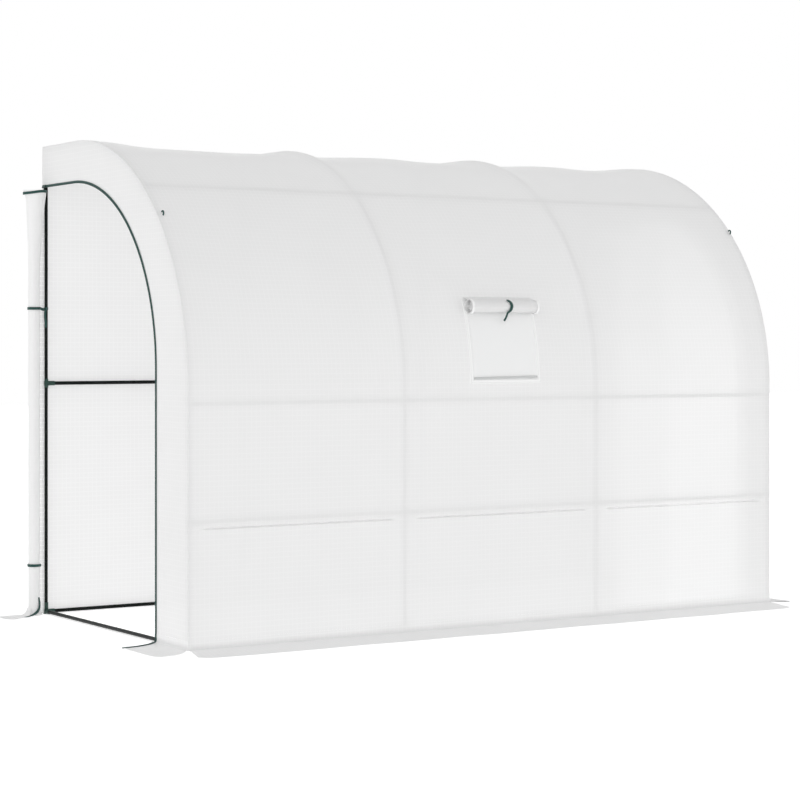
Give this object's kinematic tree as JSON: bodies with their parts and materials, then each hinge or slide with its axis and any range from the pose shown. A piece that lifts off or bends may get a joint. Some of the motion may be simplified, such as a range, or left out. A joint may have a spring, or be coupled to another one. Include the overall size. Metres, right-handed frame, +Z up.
{
  "type": "polytunnel greenhouse",
  "caption": "Lean-to walk-in polytunnel greenhouse: bent steel hoops under a white woven film cover, with an arched zip doorway rolled open at each end and a small netted window in front.",
  "frame": {"origin": "middle of the ground area that the cover takes up, at ground level", "axes": "+X along the length, -Y towards the rounded front, +Z up"},
  "size_m": [3.356, 1.62, 2.08],
  "materials": {
    "green_steel": "satin powder coat",
    "green_plastic": "moulded",
    "cover_film": "translucent woven film with a fine grid",
    "green_webbing": "woven tape",
    "window_net": "fine insect net"
  },
  "bodies": {
    "root": {"left_end_hoop": "green_steel", "left_inner_hoop": "green_steel", "right_inner_hoop": "green_steel", "right_end_hoop": "green_steel", "left_end_post": "green_steel", "left_inner_post": "green_steel", "right_inner_post": "green_steel", "right_end_post": "green_steel", "rear_bottom_rail": "green_steel", "rear_mid_rail": "green_steel", "rear_top_rail": "green_steel", "front_bottom_rail": "green_steel", "lower_purlin": "green_steel", "mid_purlin": "green_steel", "upper_purlin": "green_steel", "left_base_bar": "green_steel", "right_base_bar": "green_steel", "rear_foot_connectors": "green_plastic", "rear_mid_connectors": "green_plastic", "rear_top_connectors": "green_plastic", "front_foot_connectors": "green_plastic", "lower_purlin_connectors": "green_plastic", "mid_purlin_connectors": "green_plastic", "upper_purlin_connectors": "green_plastic", "arch_cover": "cover_film", "rear_cover": "cover_film", "left_end_border": "cover_film", "right_end_border": "cover_film", "front_skirt": "cover_film", "left_skirt": "cover_film", "right_skirt": "cover_film", "left_door_roll": "cover_film", "right_door_roll": "cover_film", "left_door_zip": "green_webbing", "right_door_zip": "green_webbing", "left_door_ties": "green_webbing", "right_door_ties": "green_webbing", "window_net": "window_net", "window_border": "cover_film", "window_flap_roll": "cover_film", "window_tie": "green_webbing", "rope_loops": "green_webbing"}
  },
  "joints": []
}
